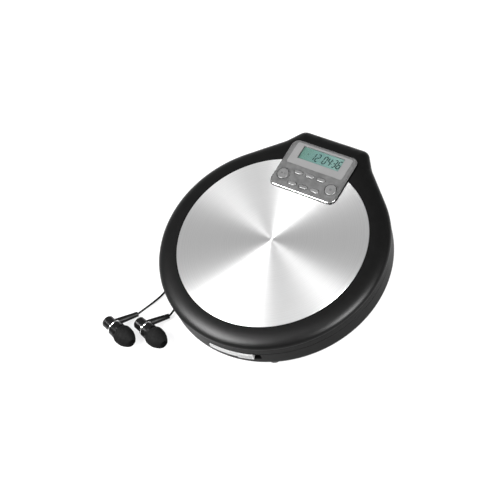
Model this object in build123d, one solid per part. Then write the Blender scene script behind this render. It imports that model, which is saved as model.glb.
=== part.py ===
from build123d import *
import math
import os

# Portable CD player with in-ear earphones.  Millimetres, +Z up, -Y to the front, where the lid
# latch is, and +Y to the back, where the lid is hinged.  Parts are drawn about the disc's spindle
# axis and moved by SPINDLE_Y at the end, so that the origin is under the middle of the player's box.

# Driving dimensions: the body's plan
LID_RADIUS = 70.0
TAB_REAR = 79.0
TAB_HALF = 22.5
FLARE_ANGLE = 44.0
FLARE_LENGTH = 26.0
TAB_CORNER = 6.2
UPPER_INSET = 0.25
LOWER_INSET = 0.6
WALL = 2.0

# Driving dimensions: the levels
BODY_BOTTOM = 2.5
BOTTOM_ROUND = 5.0
FLOOR_TOP = 4.3
SEAM = 16.5
SEAM_GAP = 0.56
DECK_BOTTOM = 19.0
DECK_TOP = 20.2
RIM_TOP = 21.45
LID_BOTTOM = 21.9
SHOULDER = 22.2
ROOF = 24.7
SKIN_BOTTOM = 25.4
PLATE_BOTTOM = 26.4
PLATE_TOP = 27.2
LID_TOP = 27.3
PANEL_TOP = 28.6
SPINDLE_Y = -(TAB_REAR - LID_RADIUS) / 2

# Standard parts
DISC_BORE_RADIUS = 7.5
JACK_RADIUS = 1.8
PLUG_RADIUS = 1.75

# Lid and hinge
DOME_WIDTH = 11.8
DOME_LIP = 0.4
PLATE_RADIUS = 58.0
WELL_RADIUS = 62.0
HINGE_Y = 75.0
HINGE_Z = 22.6
SADDLE_RADIUS = 4.35
LUG_IN = 9.0
LUG_OUT = 11.7
KNUCKLE_IN = 12.0
KNUCKLE_OUT = 16.0
KNUCKLE_RADIUS = 2.1
PIN_RADIUS = 1.0
RUNNING_GAP = 0.05

# Control panel
PANEL_WIDTH = 45.4
PANEL_DEPTH = 34.7
PANEL_Y = 51.6
PANEL_CORNER = 4.5
TRIM_WIDTH = 1.1
KEY_GAP = 0.25
KEY_BOTTOM = 27.0
KEY_TOP = 29.0
ROUND_KEY_X = 16.6
ROUND_KEY_FRONT = 8.9
ROUND_KEY_RADIUS = 3.6
PILL_PITCH = 7.8
PILL_FRONTS = (4.6, 13.0)
PILL_LENGTH = 5.6
PILL_WIDTH = 2.4
WINDOW_WIDTH = 38.6
WINDOW_FRONT = 17.4
WINDOW_REAR = 33.0

# Latch
LATCH_START = -4.0
LATCH_END = 19.0
LATCH_SLOT_END = 22.8
LATCH_LOW = 10.4
LATCH_HIGH = 15.0
TONGUE_ANGLE = 10.5

# Mechanism
CHASSIS_BOTTOM = 14.6
CHASSIS_TOP = 15.8
LENS_X = 23.5
SLED_TRAVEL = 31.5
ROD_Y = 14.0
ROD_Z = 12.4
ROD_RADIUS = 1.2
RACK_MODULE = 0.6
GEAR_MODULE = 0.5
RACK_GEAR_TEETH = 12
BIG_GEAR_TEETH = 30
PINION_TEETH = 10
TOOTH_SHARE = 0.34
GEAR_X = 30.0
RACK_Y = -18.0
DAMPER_SPOTS = [(-15, 13), (-15, -13), (53, -23)]

# Battery compartment
BAY_HALF = 28.6
BAY_FRONT = 21.5
BAY_REAR = 51.5
BAY_WALL = 1.2

# Sockets and switches in the walls
HEADPHONE_ANGLE = 100.0
JACK_Z = 9.0
REAR_JACK_Z = 11.0
LINE_OUT_X = 10.0
DC_X = -10.0
HOLD_ANGLE = -83.0
LID_SWITCH_ANGLE = -25.0
LID_SWITCH_RADIUS = 64.3

# Earphones
BRANCH_DIAMETER = 1.3
CORD_DIAMETER = 1.7

os.makedirs("parts", exist_ok=True)


def save(node, shape):
    """Moves a sub-part from the spindle's frame to the object's and writes it."""
    solids = Pos(0, SPINDLE_Y, 0) * shape
    export_step(Compound(children=list(solids.solids())), "parts/" + node + ".step")


def polar(radius, angle, z=0.0):
    """A point by its angle from the front, counted towards the right."""
    turn = math.radians(angle)
    return Vector(radius * math.sin(turn), -radius * math.cos(turn), z)


def upright(radius, low, high, x=0.0, y=0.0):
    """A vertical cylinder from one level to another."""
    return Pos(x, y, (low + high) / 2) * Cylinder(radius, high - low)


def block(x0, x1, y0, y1, z0, z1):
    """A box from its corners."""
    return Pos((x0 + x1) / 2, (y0 + y1) / 2, (z0 + z1) / 2) * Box(x1 - x0, y1 - y0, z1 - z0)


def along(start, end, radius):
    """A cylinder from one point to another."""
    start = Vector(*start)
    end = Vector(*end)
    plane = Plane(origin=start, z_dir=end - start)
    return extrude(plane * Circle(radius), (end - start).length)


def sector(inner, outer, start, end, low, high):
    """A piece of a ring about the spindle, between two angles from the front."""
    middle = (start + end) / 2
    half = math.radians((end - start) / 2)
    reach = outer / math.cos(half) + 1
    left = (reach * math.sin(-half), -reach * math.cos(half))
    right = (reach * math.sin(half), -reach * math.cos(half))
    wedge = make_face(Polyline((0, 0), left, right, close=True))
    ring = Circle(outer) - Circle(inner)
    return Rot(0, 0, middle) * Pos(0, 0, low) * extrude(ring & wedge, high - low)


# ---------------------------------------------------------------- body outline

def flank_points():
    """Right flank of the tab: where it leaves the ring, where it flares, and the rear corner."""
    turn = math.radians(FLARE_ANGLE)
    leave = Vector(LID_RADIUS * math.sin(turn), LID_RADIUS * math.cos(turn))
    flare = leave + FLARE_LENGTH * Vector(-math.cos(turn), math.sin(turn))
    corner = Vector(TAB_HALF, TAB_REAR)
    return leave, flare, corner


def edge_solid(section, start, end, before, after):
    """The section's solid along a straight edge; the outside is to the right of start to end."""
    run = (end - start).normalized()
    outward = Vector(run.Y, -run.X)
    plane = Plane(origin=start - run * before, x_dir=outward, z_dir=-run)
    return extrude(plane * section, -((end - start).length + before + after))


def tabbed(section, inset):
    """A round body with its rear tab, from one section whose outer edge is at x = -inset."""
    leave, flare, corner = flank_points()
    ring = revolve(Plane.XZ * (Pos(LID_RADIUS, 0) * section & Pos(50, 0) * Rectangle(100, 100)), Axis.Z)
    right = edge_solid(section, leave, flare, 0, 60) + edge_solid(section, flare, corner, 40, 30)
    left = mirror(right, Plane.YZ)
    rear = edge_solid(section, corner, Vector(-corner.X, corner.Y), 60, 60)
    centre, wedge = corner_wedge()
    turned_edge = Pos(TAB_CORNER, 0) * section & Pos(25, 0) * Rectangle(50, 100)
    rounded = Pos(centre.X, centre.Y) * revolve(Plane.XZ * turned_edge, Axis.Z) & wedge
    tab = (right & left & rear & tab_plan(inset)) - wedge - mirror(wedge, Plane.YZ)
    return ring, tab + rounded + mirror(rounded, Plane.YZ)


def corner_wedge():
    """The centre of the tab's rounded right rear corner, and the part of the plan it covers."""
    leave, flare, corner = flank_points()
    run = (corner - flare).normalized()
    outward = Vector(run.Y, -run.X)
    base = flare - outward * TAB_CORNER
    centre = base + run * ((TAB_REAR - TAB_CORNER - base.Y) / run.Y)
    side = centre + outward * 20
    far = side + run * 20
    behind = centre + Vector(0, 20)
    plan = make_face(Polyline(*[(spot.X, spot.Y) for spot in (centre, side, far, behind)], close=True))
    return centre, extrude(plan, 40)


def tab_plan(inset):
    """The tab's plan with square rear corners, as a tall prism."""
    leave, flare, corner = flank_points()
    run = (corner - flare).normalized()
    outward = Vector(run.Y, -run.X)
    edge = flare - outward * inset
    low_y = flare.Y + 2
    rear_y = TAB_REAR - inset
    low_x = edge.X + run.X / run.Y * (low_y - edge.Y)
    rear_x = edge.X + run.X / run.Y * (rear_y - edge.Y)
    wide = 62
    outline = Polyline((-wide, 30), (wide, 30), (wide, low_y), (low_x, low_y), (rear_x, rear_y),
                       (-rear_x, rear_y), (-low_x, low_y), (-wide, low_y), close=True)
    return extrude(make_face(outline), 40)


def dome_section(inset, base, lip, top, width):
    """Half of the lid's dome: a short upright lip, then a quarter of an ellipse up to the flat top."""
    edge = -inset
    crown = EllipticalCenterArc((edge - width, base + lip), width, top - base - lip, arc_size=90)
    rest = Polyline((edge - width, top), (-130, top), (-130, base), (edge, base), (edge, base + lip))
    return make_face(Curve() + [crown, rest])


def band_section(inset, low, high, lower_round, upper_round):
    """An upright wall's section with its lower and upper outer edges rounded."""
    middle = (low + high) / 2
    face = Pos(-inset - 65, middle) * Rectangle(130, high - low)
    outer = face.vertices().filter_by(lambda v: v.X > -inset - 1)
    if lower_round > 0:
        face = fillet(outer.filter_by(lambda v: v.Y < middle), lower_round)
        outer = face.vertices().filter_by(lambda v: v.X > -inset - 0.01 and v.Y > middle)
    if upper_round > 0:
        face = fillet(outer.filter_by(lambda v: v.Y > middle), upper_round)
    return face


def tabbed_solid(section, inset):
    ring, tab = tabbed(section, inset)
    return ring + tab


def saddle(radius, half):
    """A cylinder about the lid's hinge axis."""
    return Pos(0, HINGE_Y, HINGE_Z) * Rot(0, 90, 0) * Cylinder(radius, 2 * half)


def between(solid_radius, start, end):
    """Two mirrored cylinders about the hinge axis, from start to end on each side."""
    middle = (start + end) / 2
    one = Pos(middle, HINGE_Y, HINGE_Z) * Rot(0, 90, 0) * Cylinder(solid_radius, end - start)
    return one + mirror(one, Plane.YZ)


# ---------------------------------------------------------------- lid

LID_SCREW_SPOTS = [(-23.6, 57.4), (23.6, 57.4)]


def panel_plan(grow, corner):
    """The control panel's rounded outline, grown or shrunk all round."""
    return Pos(0, PANEL_Y) * RectangleRounded(PANEL_WIDTH + 2 * grow, PANEL_DEPTH + 2 * grow, corner)


def panel_y(front):
    """A place on the panel, from its front edge."""
    return PANEL_Y - PANEL_DEPTH / 2 + front


def latch_tongue():
    """The lid's catch, which hangs through the base's rim."""
    reach = sector(62.8, 64.8, TONGUE_ANGLE - 2, TONGUE_ANGLE + 2, 11.4, 25.8)
    notch = sector(62.0, 66.0, TONGUE_ANGLE + 0.6, TONGUE_ANGLE + 3, 12.4, 14.6)
    return reach - notch


def lid_shell():
    outer = tabbed_solid(dome_section(0, LID_BOTTOM, DOME_LIP, LID_TOP, DOME_WIDTH), 0)
    inner = tabbed_solid(dome_section(1.8, LID_BOTTOM - 0.9, 0.9, SKIN_BOTTOM, 10.0), 1.8)
    shell = outer - inner
    shell -= upright(PLATE_RADIUS, PLATE_BOTTOM, 30)
    shell -= Pos(0, 0, PLATE_BOTTOM) * extrude(panel_plan(0.1, PANEL_CORNER + 0.1), 4)
    shell -= Pos(0, 0, 24) * extrude(panel_plan(-1.7, 2.8), 4)
    shell -= saddle(KNUCKLE_RADIUS + 0.35, KNUCKLE_OUT + 0.4)
    lugs = between(3.0, LUG_IN, LUG_OUT)
    webs = block(LUG_IN, LUG_OUT, HINGE_Y - 2.6, HINGE_Y + 1.8, HINGE_Z, 25.4)
    shell += lugs + webs + mirror(webs, Plane.YZ)
    shell -= between(PIN_RADIUS, LUG_IN - 1, LUG_OUT + 1)
    shell += latch_tongue()
    peg = polar(LID_SWITCH_RADIUS, LID_SWITCH_ANGLE)
    shell += upright(1.0, 21.3, 25.6, peg.X, peg.Y)
    for x, y in LID_SCREW_SPOTS:
        shell -= upright(0.8, 25, 26.2, x, y)
    return shell


def lid_trim_plate():
    plate = upright(PLATE_RADIUS - 0.15, PLATE_BOTTOM, PLATE_TOP)
    plate = chamfer(plate.edges().filter_by(GeomType.CIRCLE).group_by(Axis.Z)[-1], 0.15)
    return plate - Pos(0, 0, 25) * extrude(panel_plan(0.25, PANEL_CORNER + 0.25), 5)


def lid_inner_cover():
    """The thin lining over the disc, with a shallow ring round the hub."""
    cover = upright(59.5, ROOF, 25.3)
    cover += block(-21.5, 21.5, 40, 67.3, ROOF, 25.3)
    cover -= upright(DISC_BORE_RADIUS + 1.0, ROOF - 0.1, ROOF + 0.3)
    for x, y in LID_SCREW_SPOTS:
        cover += upright(2.4, ROOF, 25.3, x, y)
        cover -= upright(0.8, 24, 26, x, y)
    return cover


def lid_screws():
    screws = Part()
    for x, y in LID_SCREW_SPOTS:
        screws += upright(0.8, ROOF - 0.1, 26.2, x, y) + upright(1.7, ROOF - 0.9, ROOF, x, y)
    return screws


def panel_trim():
    """The bright surround of the control panel."""
    trim = Pos(0, 0, PLATE_BOTTOM) * extrude(panel_plan(0, PANEL_CORNER), PANEL_TOP - 0.1 - PLATE_BOTTOM)
    trim = fillet(trim.faces().sort_by(Axis.Z)[-1].edges(), 0.7)
    return trim - Pos(0, 0, 25) * extrude(panel_plan(-TRIM_WIDTH, PANEL_CORNER - TRIM_WIDTH), 6)


def key_spots():
    """Each key's node, kind and place on the panel."""
    spots = [("play_button", "round", -ROUND_KEY_X, ROUND_KEY_FRONT)]
    spots.append(("stop_button", "round", ROUND_KEY_X, ROUND_KEY_FRONT))
    names = (("skip_back_button", "skip_forward_button", "mode_button"),
             ("volume_down_button", "volume_up_button", "folder_button"))
    for row, front in enumerate((PILL_FRONTS[1], PILL_FRONTS[0])):
        for column in range(3):
            spots.append((names[row][column], "pill", (column - 1) * PILL_PITCH, front))
    return spots


def key_plan(kind, grow):
    if kind == "round":
        return Circle(ROUND_KEY_RADIUS + grow)
    return SlotOverall(PILL_LENGTH + 2 * grow, PILL_WIDTH + 2 * grow)


def key(kind, x, front):
    """A key cap with the flange that keeps it under the panel."""
    place = Pos(x, panel_y(front), 0)
    cap = Pos(0, 0, KEY_BOTTOM) * extrude(key_plan(kind, 0), KEY_TOP - KEY_BOTTOM)
    cap = fillet(cap.faces().sort_by(Axis.Z)[-1].edges(), 0.35)
    flange = Pos(0, 0, KEY_BOTTOM) * extrude(key_plan(kind, 0.55), 0.35)
    return place * (cap + flange)


def panel_frame():
    """The key area and window surround, with a post in each corner that stands on the circuit board."""
    frame = Pos(0, 0, 27.4) * extrude(panel_plan(-TRIM_WIDTH, PANEL_CORNER - TRIM_WIDTH), PANEL_TOP - 27.4)
    for name, kind, x, front in key_spots():
        frame -= Pos(x, panel_y(front), 27) * extrude(key_plan(kind, KEY_GAP), 3)
        if kind == "round":
            ring = Circle(ROUND_KEY_RADIUS + 0.9) - Circle(ROUND_KEY_RADIUS + 0.4)
            frame += Pos(x, panel_y(front), PANEL_TOP - 0.1) * extrude(ring, 0.35)
    window = Pos(0, panel_y((WINDOW_FRONT + WINDOW_REAR) / 2))
    window *= RectangleRounded(WINDOW_WIDTH, WINDOW_REAR - WINDOW_FRONT, 1.4)
    frame -= Pos(0, 0, 27) * extrude(window, 3)
    for side in (-1, 1):
        for y in (PANEL_Y - 14.3, PANEL_Y + 14.3):
            frame += upright(0.9, 26.1, 27.5, side * 19.4, y)
    return frame


def display_bezel():
    """The grey printed surround of the display."""
    middle = panel_y((WINDOW_FRONT + WINDOW_REAR) / 2)
    plan = RectangleRounded(WINDOW_WIDTH - 0.1, WINDOW_REAR - WINDOW_FRONT - 0.1, 1.35)
    plate = Pos(0, middle, 27.65) * extrude(plan, PANEL_TOP + 0.05 - 27.65)
    return plate - Pos(0, panel_y(27.0), 28) * Box(28.6, 9.4, 4)


def display_window():
    return Pos(0, panel_y(27.0), 28.3) * Box(28.6, 9.4, 0.5)


def lcd_module():
    return Pos(0, panel_y(27.0), 26.85) * Box(33, 11.5, 1.4)


def lid_circuit_board():
    return Pos(0, 0, 25.5) * extrude(panel_plan(-2.1, 2.4), 0.6)


def key_contacts():
    """One dome under each key."""
    domes = Part()
    for name, kind, x, front in key_spots():
        domes += upright(1.2, 26.1, 26.4, x, panel_y(front))
    return domes


# ---------------------------------------------------------------- cabinets

CASE_POSTS = [(polar(58, 50).X, polar(58, 50).Y), (polar(58, -50).X, polar(58, -50).Y),
              (polar(58, 115).X, polar(58, 115).Y), (polar(57, -135).X, polar(57, -135).Y)]
FOOT_SPOTS = [polar(62.6, 27), polar(62.6, -27), polar(61.3, 140), polar(61.3, -140)]


def upper_cabinet():
    """Rim, disc well and deck, with the hinge saddle at the back."""
    low = SEAM + SEAM_GAP / 2
    outer = tabbed_solid(band_section(UPPER_INSET, low, RIM_TOP, 0.4, 0.5), UPPER_INSET)
    lip = tabbed_solid(band_section(1.3, SEAM - SEAM_GAP / 2, low + 0.2, 0, 0), 1.3)
    room = tabbed_solid(band_section(UPPER_INSET + WALL, 15, DECK_BOTTOM, 0, 0), UPPER_INSET + WALL)
    cabinet = outer + lip - room
    cabinet += outer & saddle(SADDLE_RADIUS + 1.3, 24)
    cabinet -= upright(WELL_RADIUS, DECK_TOP, 24)
    cabinet -= upright(16.5, 15, 24) + block(0, 60, -9.5, 9.5, 15, 24)
    cabinet -= saddle(SADDLE_RADIUS, 40)
    cabinet -= sector(61.4, 66.0, TONGUE_ANGLE - 2.9, TONGUE_ANGLE + 2.9, 15, 24)
    peg = polar(LID_SWITCH_RADIUS, LID_SWITCH_ANGLE)
    cabinet -= upright(1.5, 15, 24, peg.X, peg.Y)
    necks = block(KNUCKLE_IN, KNUCKLE_OUT, 69.5, HINGE_Y - 0.4, 17.5, HINGE_Z)
    cabinet += between(KNUCKLE_RADIUS, KNUCKLE_IN, KNUCKLE_OUT) + necks + mirror(necks, Plane.YZ)
    cabinet -= between(PIN_RADIUS + RUNNING_GAP, KNUCKLE_IN - 0.5, KNUCKLE_OUT + 0.5)
    for x, y in CASE_POSTS:
        cabinet += upright(3.0, 9.0, DECK_BOTTOM + 0.2, x, y)
        cabinet -= upright(1.1, 8, 16, x, y)
    return cabinet


def battery_bay():
    """The walls round the cells."""
    half = BAY_HALF + BAY_WALL
    outer = block(-half, half, BAY_FRONT - BAY_WALL, BAY_REAR + BAY_WALL, 3.9, 18.8)
    return outer - block(-BAY_HALF, BAY_HALF, BAY_FRONT, BAY_REAR, 0, 20)


def side_hole(angle, radius, z, inner, outer):
    """A cylinder that runs outwards from the spindle, for an opening in the wall."""
    return along(polar(inner, angle, z), polar(outer, angle, z), radius)


def lower_cabinet():
    """The bottom shell with the battery bay, posts and side openings."""
    high = SEAM - SEAM_GAP / 2
    outer = tabbed_solid(band_section(LOWER_INSET, BODY_BOTTOM, high, BOTTOM_ROUND, 0.4), LOWER_INSET)
    inset = LOWER_INSET + WALL
    room = tabbed_solid(band_section(inset, FLOOR_TOP, high + 5, BOTTOM_ROUND - 1.6, 0), inset)
    cabinet = outer - room
    cabinet += block(-28, 28, 17.0, BAY_FRONT, FLOOR_TOP - 0.2, 6.0) + battery_bay()
    cabinet -= block(-BAY_HALF, BAY_HALF, BAY_FRONT, BAY_REAR, 2, 7)
    cabinet -= block(-30.3, 30.3, 18.4, 52.9, 2, 3.8)
    cabinet -= Pos(0, 19.6, 3.4) * Rot(0, 90, 0) * Cylinder(1.25, 52.8)
    cabinet -= Pos(0, 19.6, 3.4) * Rot(0, 90, 0) * Cylinder(0.55, 55.4)
    cabinet -= sector(66, 72, LATCH_START - 0.5, LATCH_SLOT_END, LATCH_LOW - 0.2, LATCH_HIGH + 0.2)
    cabinet -= sector(66, 72, HOLD_ANGLE - 2.0, HOLD_ANGLE + 4.4, 9.0, 12.0)
    cabinet -= side_hole(-HEADPHONE_ANGLE, 3.1, JACK_Z, 66, 72)
    for x, radius in ((LINE_OUT_X, 3.1), (DC_X, 3.8)):
        cabinet -= along((x, 75, REAR_JACK_Z), (x, 80, REAR_JACK_Z), radius)
    for x, y in CASE_POSTS:
        cabinet += upright(4.0, 2.6, 9.0, x, y)
        cabinet -= upright(3.1, 2, 6.5, x, y) + upright(1.4, 2, 10, x, y)
    for x, y in DAMPER_SPOTS:
        cabinet += upright(2.6, FLOOR_TOP - 0.2, 13.2, x, y)
        cabinet -= upright(1.1, 8, 14, x, y)
    for x, y in ((-30, -20), (-30, 8), (10, -42)):
        cabinet += upright(2.0, FLOOR_TOP - 0.2, 5.6, x, y)
    for spot in FOOT_SPOTS:
        cabinet -= upright(2.0, 2, 3.5, spot.X, spot.Y)
    return cabinet


def battery_door():
    """The door turns on the barrel along its front edge."""
    door = block(-30, 30, 19.6, 52.6, BODY_BOTTOM, 3.7)
    door += Pos(0, 19.6, 3.4) * Rot(0, 90, 0) * Cylinder(0.9, 52)
    door += Pos(0, 19.6, 3.4) * Rot(0, 90, 0) * Cylinder(0.5, 54.8)
    door -= block(-31, -26.05, 18, 21.2, 2, 5) + block(26.05, 31, 18, 21.2, 2, 5)
    door += Pos(0, 19.6, 3.4) * Rot(0, 90, 0) * Cylinder(0.5, 54.8)
    for step in range(4):
        y = 43 + 2 * step
        door -= block(-9, 9, y, y + 1, 2, BODY_BOTTOM + 0.4)
    return door


def coil_x(x0, x1, y, z, radius, wire, turns):
    """A coil spring along X."""
    path = Helix(pitch=(x1 - x0 - wire) / turns, height=x1 - x0 - wire, radius=radius)
    start = Plane(origin=path @ 0, z_dir=path % 0)
    coil = sweep(start * Circle(wire / 2), path=path, is_frenet=True)
    return Pos(x0 + wire / 2, y, z) * Rot(0, 90, 0) * coil


def battery_springs():
    rear = coil_x(-BAY_HALF + 0.3, -25.4, 44.0, 11.3, 3.2, 0.5, 2.5)
    front = coil_x(25.4, BAY_HALF - 0.3, 29.0, 11.3, 3.2, 0.5, 2.5)
    return Part() + [rear, front]


def battery_plates():
    """Four thin contact plates on the end walls."""
    plates = Part()
    for y in (29.0, 44.0):
        plates += block(-BAY_HALF, -BAY_HALF + 0.3, y - 5, y + 5, 6, 16.5)
        plates += block(BAY_HALF - 0.3, BAY_HALF, y - 5, y + 5, 6, 16.5)
    return plates


def rubber_feet():
    feet = Part()
    for spot in FOOT_SPOTS:
        foot = upright(4.6, 0, BODY_BOTTOM + 0.1, spot.X, spot.Y)
        foot = fillet(foot.edges().group_by(Axis.Z)[0], 1.0)
        feet += foot + upright(2.0, BODY_BOTTOM - 0.5, 3.5, spot.X, spot.Y)
    return feet - foot_clearance()


def foot_clearance():
    """The cabinet's outside, so that each foot follows the rounded edge it is glued to."""
    outer = tabbed_solid(band_section(LOWER_INSET, BODY_BOTTOM, 12, BOTTOM_ROUND, 0), LOWER_INSET)
    for spot in FOOT_SPOTS:
        outer -= upright(2.0, 2, 3.5, spot.X, spot.Y)
    return outer


def case_screws():
    screws = Part()
    for x, y in CASE_POSTS:
        head = upright(2.7, 5.0, 6.5, x, y) - block(x - 1.6, x + 1.6, y - 0.3, y + 0.3, 4.9, 5.7)
        head -= block(x - 0.3, x + 0.3, y - 1.6, y + 1.6, 4.9, 5.7)
        screws += head + upright(1.1, 6.5, 15, x, y)
    return screws


# ---------------------------------------------------------------- latch and switches

def latch_slider():
    """The curved slider at the front: a slim tail and a taller ribbed grip."""
    tail = sector(66.9, 69.85, LATCH_START, 12, LATCH_LOW + 0.7, LATCH_HIGH - 0.7)
    grip = sector(66.9, 70.0, 11.0, LATCH_END, LATCH_LOW, LATCH_HIGH)
    slider = tail + grip
    for step in range(7):
        angle = 12.0 + 0.95 * step
        slider -= sector(69.75, 71, angle, angle + 0.4, LATCH_LOW + 0.8, LATCH_HIGH - 0.8)
    return slider


def latch_hook():
    """The arm behind the slider, whose nose holds the lid's tongue."""
    arm = sector(65.4, 66.9, 13.2, 18.2, LATCH_LOW + 0.6, LATCH_HIGH - 0.6)
    nose = sector(62.9, 65.6, 13.0, 16.0, LATCH_LOW + 2.2, LATCH_HIGH - 0.6)
    return arm + nose


def latch_spring():
    """The small return spring beside the hook, standing on its own post."""
    spot = polar(62.2, 21.5)
    path = Helix(pitch=0.9, height=3.6, radius=1.2)
    coil = sweep(Plane(origin=path @ 0, z_dir=path % 0) * Circle(0.2), path=path, is_frenet=True)
    return Pos(spot.X, spot.Y, 11.0) * coil


def hinge_pins():
    return between(PIN_RADIUS, LUG_IN + 0.1, KNUCKLE_OUT - 0.2)


def hinge_spring():
    """The torsion spring about the hinge axis that lifts the lid."""
    coil = coil_x(-4.0, 4.0, HINGE_Y, HINGE_Z, 1.6, 0.6, 8)
    return coil


def lid_switch_case():
    spot = polar(LID_SWITCH_RADIUS, LID_SWITCH_ANGLE)
    case = block(spot.X - 2.5, spot.X + 2.5, spot.Y - 1.8, spot.Y + 1.8, 10.5, 16.2)
    return case - upright(1.25, 12, 17, spot.X, spot.Y)


def lid_switch_plunger():
    spot = polar(LID_SWITCH_RADIUS, LID_SWITCH_ANGLE)
    return upright(1.2, 13.5, 21.25, spot.X, spot.Y)


def hold_slider():
    """The hold switch's ribbed knob with the plate that runs behind the wall."""
    knob = sector(66.5, 69.9, HOLD_ANGLE - 1.5, HOLD_ANGLE + 1.5, 9.3, 11.7)
    for step in range(3):
        angle = HOLD_ANGLE - 1.1 + 0.9 * step
        knob -= sector(69.6, 71, angle, angle + 0.4, 9, 12)
    return knob + sector(65.3, 66.6, HOLD_ANGLE - 3.5, HOLD_ANGLE + 3.5, 8.2, 12.8)


# ---------------------------------------------------------------- sockets

def headphone_jack():
    """A 3.5 mm stereo socket with its mouth in the left wall."""
    body = Rot(0, 0, -HEADPHONE_ANGLE) * block(-4.5, 4.5, -66.3, -54.6, 6.2, 12.4)
    jack = body + side_hole(-HEADPHONE_ANGLE, 3.0, JACK_Z, 66.0, 69.2)
    return jack - side_hole(-HEADPHONE_ANGLE, JACK_RADIUS, JACK_Z, 55.0, 72)


def rear_socket(x, half_wide, half_high, depth, neck, bore):
    """A socket body behind the tab's rear wall, with its neck through the wall."""
    face = TAB_REAR - LOWER_INSET
    inside = face - WALL - 0.1
    jack = block(x - half_wide, x + half_wide, face - depth - 0.6, inside,
                 REAR_JACK_Z - half_high, REAR_JACK_Z + half_high)
    jack += along((x, inside - 0.3, REAR_JACK_Z), (x, face, REAR_JACK_Z), neck)
    return jack - along((x, face - depth, REAR_JACK_Z), (x, face + 2, REAR_JACK_Z), bore)


def line_out_jack():
    return rear_socket(LINE_OUT_X, 4.5, 3.8, 14.0, 3.0, JACK_RADIUS)


def dc_jack():
    """A barrel socket with its fixed centre pin."""
    jack = rear_socket(DC_X, 5.0, 3.9, 10.0, 3.7, 2.8)
    return jack + along((DC_X, 67.9, REAR_JACK_Z), (DC_X, 77.2, REAR_JACK_Z), 0.65)


# ---------------------------------------------------------------- electronics

def board_plan():
    disc = Circle(53)
    keep = Pos(-60, -15) * Rectangle(82, 62) + Pos(0, -50) * Rectangle(120, 34)
    plan = disc & keep
    for x, y in CASE_POSTS:
        plan -= Pos(x, y) * Circle(4.4)
    return plan - Pos(-15, -13) * Circle(3) - Pos(-15, 13) * Circle(3)


def main_circuit_board():
    return Pos(0, 0, 5.6) * extrude(board_plan(), 1.6)


def circuit_chips():
    chips = Part()
    for x, y, wide, deep, high in ((-36, -8, 14, 14, 1.4), (-30, 9, 9, 6, 1.4), (-32, -28, 6, 9, 1.6),
                                   (0, -42, 12, 7, 1.4), (-12, -40, 4, 4, 3.4)):
        chips += block(x - wide / 2, x + wide / 2, y - deep / 2, y + deep / 2, 7.2, 7.2 + high)
    for x, y in ((-46, 4), (-24, -42), (18, -42), (24, -40)):
        chips += upright(2.0, 7.2, 12.4, x, y)
    return chips


# ---------------------------------------------------------------- mechanism

def mechanism_chassis():
    """The plate that carries the motors and pickup, with its gear pin and rod lugs."""
    plan = Pos(22, 0) * RectangleRounded(82, 34, 4) + Pos(32, -20) * RectangleRounded(44, 14, 3)
    for x, y in DAMPER_SPOTS:
        plan += Pos(x, y) * Circle(4.5)
    chassis = Pos(0, 0, CHASSIS_BOTTOM) * extrude(plan, CHASSIS_TOP - CHASSIS_BOTTOM)
    chassis -= block(17.4, 60.8, -12.6, 12.6, 12, 18)
    chassis -= upright(4.0, 12, 18)
    for x, y in DAMPER_SPOTS:
        chassis -= upright(2.2, 12, 18, x, y)
    for y in (-ROD_Y, ROD_Y):
        for x in (14.0, 60.9):
            chassis += block(x, x + 1.8, y - 2.2, y + 2.2, 10.6, CHASSIS_BOTTOM + 0.1)
        chassis -= along((10, y, ROD_Z), (66, y, ROD_Z), ROD_RADIUS)
    gear_y = RACK_Y - RACK_MODULE * RACK_GEAR_TEETH / 2
    chassis += upright(1.0, 8.4, CHASSIS_BOTTOM + 0.1, GEAR_X, gear_y)
    return chassis


def chassis_dampers():
    dampers = Part()
    for x, y in DAMPER_SPOTS:
        damper = upright(3.2, 13.2, CHASSIS_BOTTOM, x, y) + upright(2.2, 14, 16, x, y)
        damper += upright(3.2, CHASSIS_TOP, 16.6, x, y)
        dampers += damper - upright(1.1, 12, 18, x, y)
    return dampers


def mechanism_screws():
    screws = Part()
    for x, y in DAMPER_SPOTS:
        head = upright(2.4, 16.6, 17.8, x, y) - block(x - 1.4, x + 1.4, y - 0.3, y + 0.3, 17.3, 18)
        screws += head + upright(1.1, 9, 16.6, x, y)
    return screws


def spindle_motor():
    """A flat motor under the chassis plate, with the bearing that the shaft runs in."""
    motor = upright(11.5, 7.0, 13.6) + upright(3.8, 13.5, 15.9)
    motor = fillet(motor.edges().group_by(Axis.Z)[0], 0.8)
    motor += upright(5.0, 13.5, CHASSIS_BOTTOM)
    return motor - upright(1.0 + RUNNING_GAP, 8.5, 17)


def turntable():
    """The disc platter, its centring boss and the motor's shaft."""
    table = upright(14.0, 20.9, SHOULDER) + upright(DISC_BORE_RADIUS - 0.15, SHOULDER - 0.1, 24.2)
    table = chamfer(table.edges().group_by(Axis.Z)[-1], 0.5)
    table += upright(3.0, 16.6, 21)
    table += upright(1.0, 9.0, 17)
    for angle in (0, 120, 240):
        ball = polar(6.9, angle, 23.5)
        table -= Pos(ball.X, ball.Y, ball.Z) * Sphere(0.75)
    return table


def disc_clamp_balls():
    balls = Part()
    for angle in (0, 120, 240):
        ball = polar(6.9, angle, 23.5)
        balls += Pos(ball.X, ball.Y, ball.Z) * Sphere(0.75)
    return balls


def pickup_rods():
    rods = Part()
    for y in (-ROD_Y, ROD_Y):
        rods += along((14.0, y, ROD_Z), (62.7, y, ROD_Z), ROD_RADIUS)
    return rods


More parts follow.
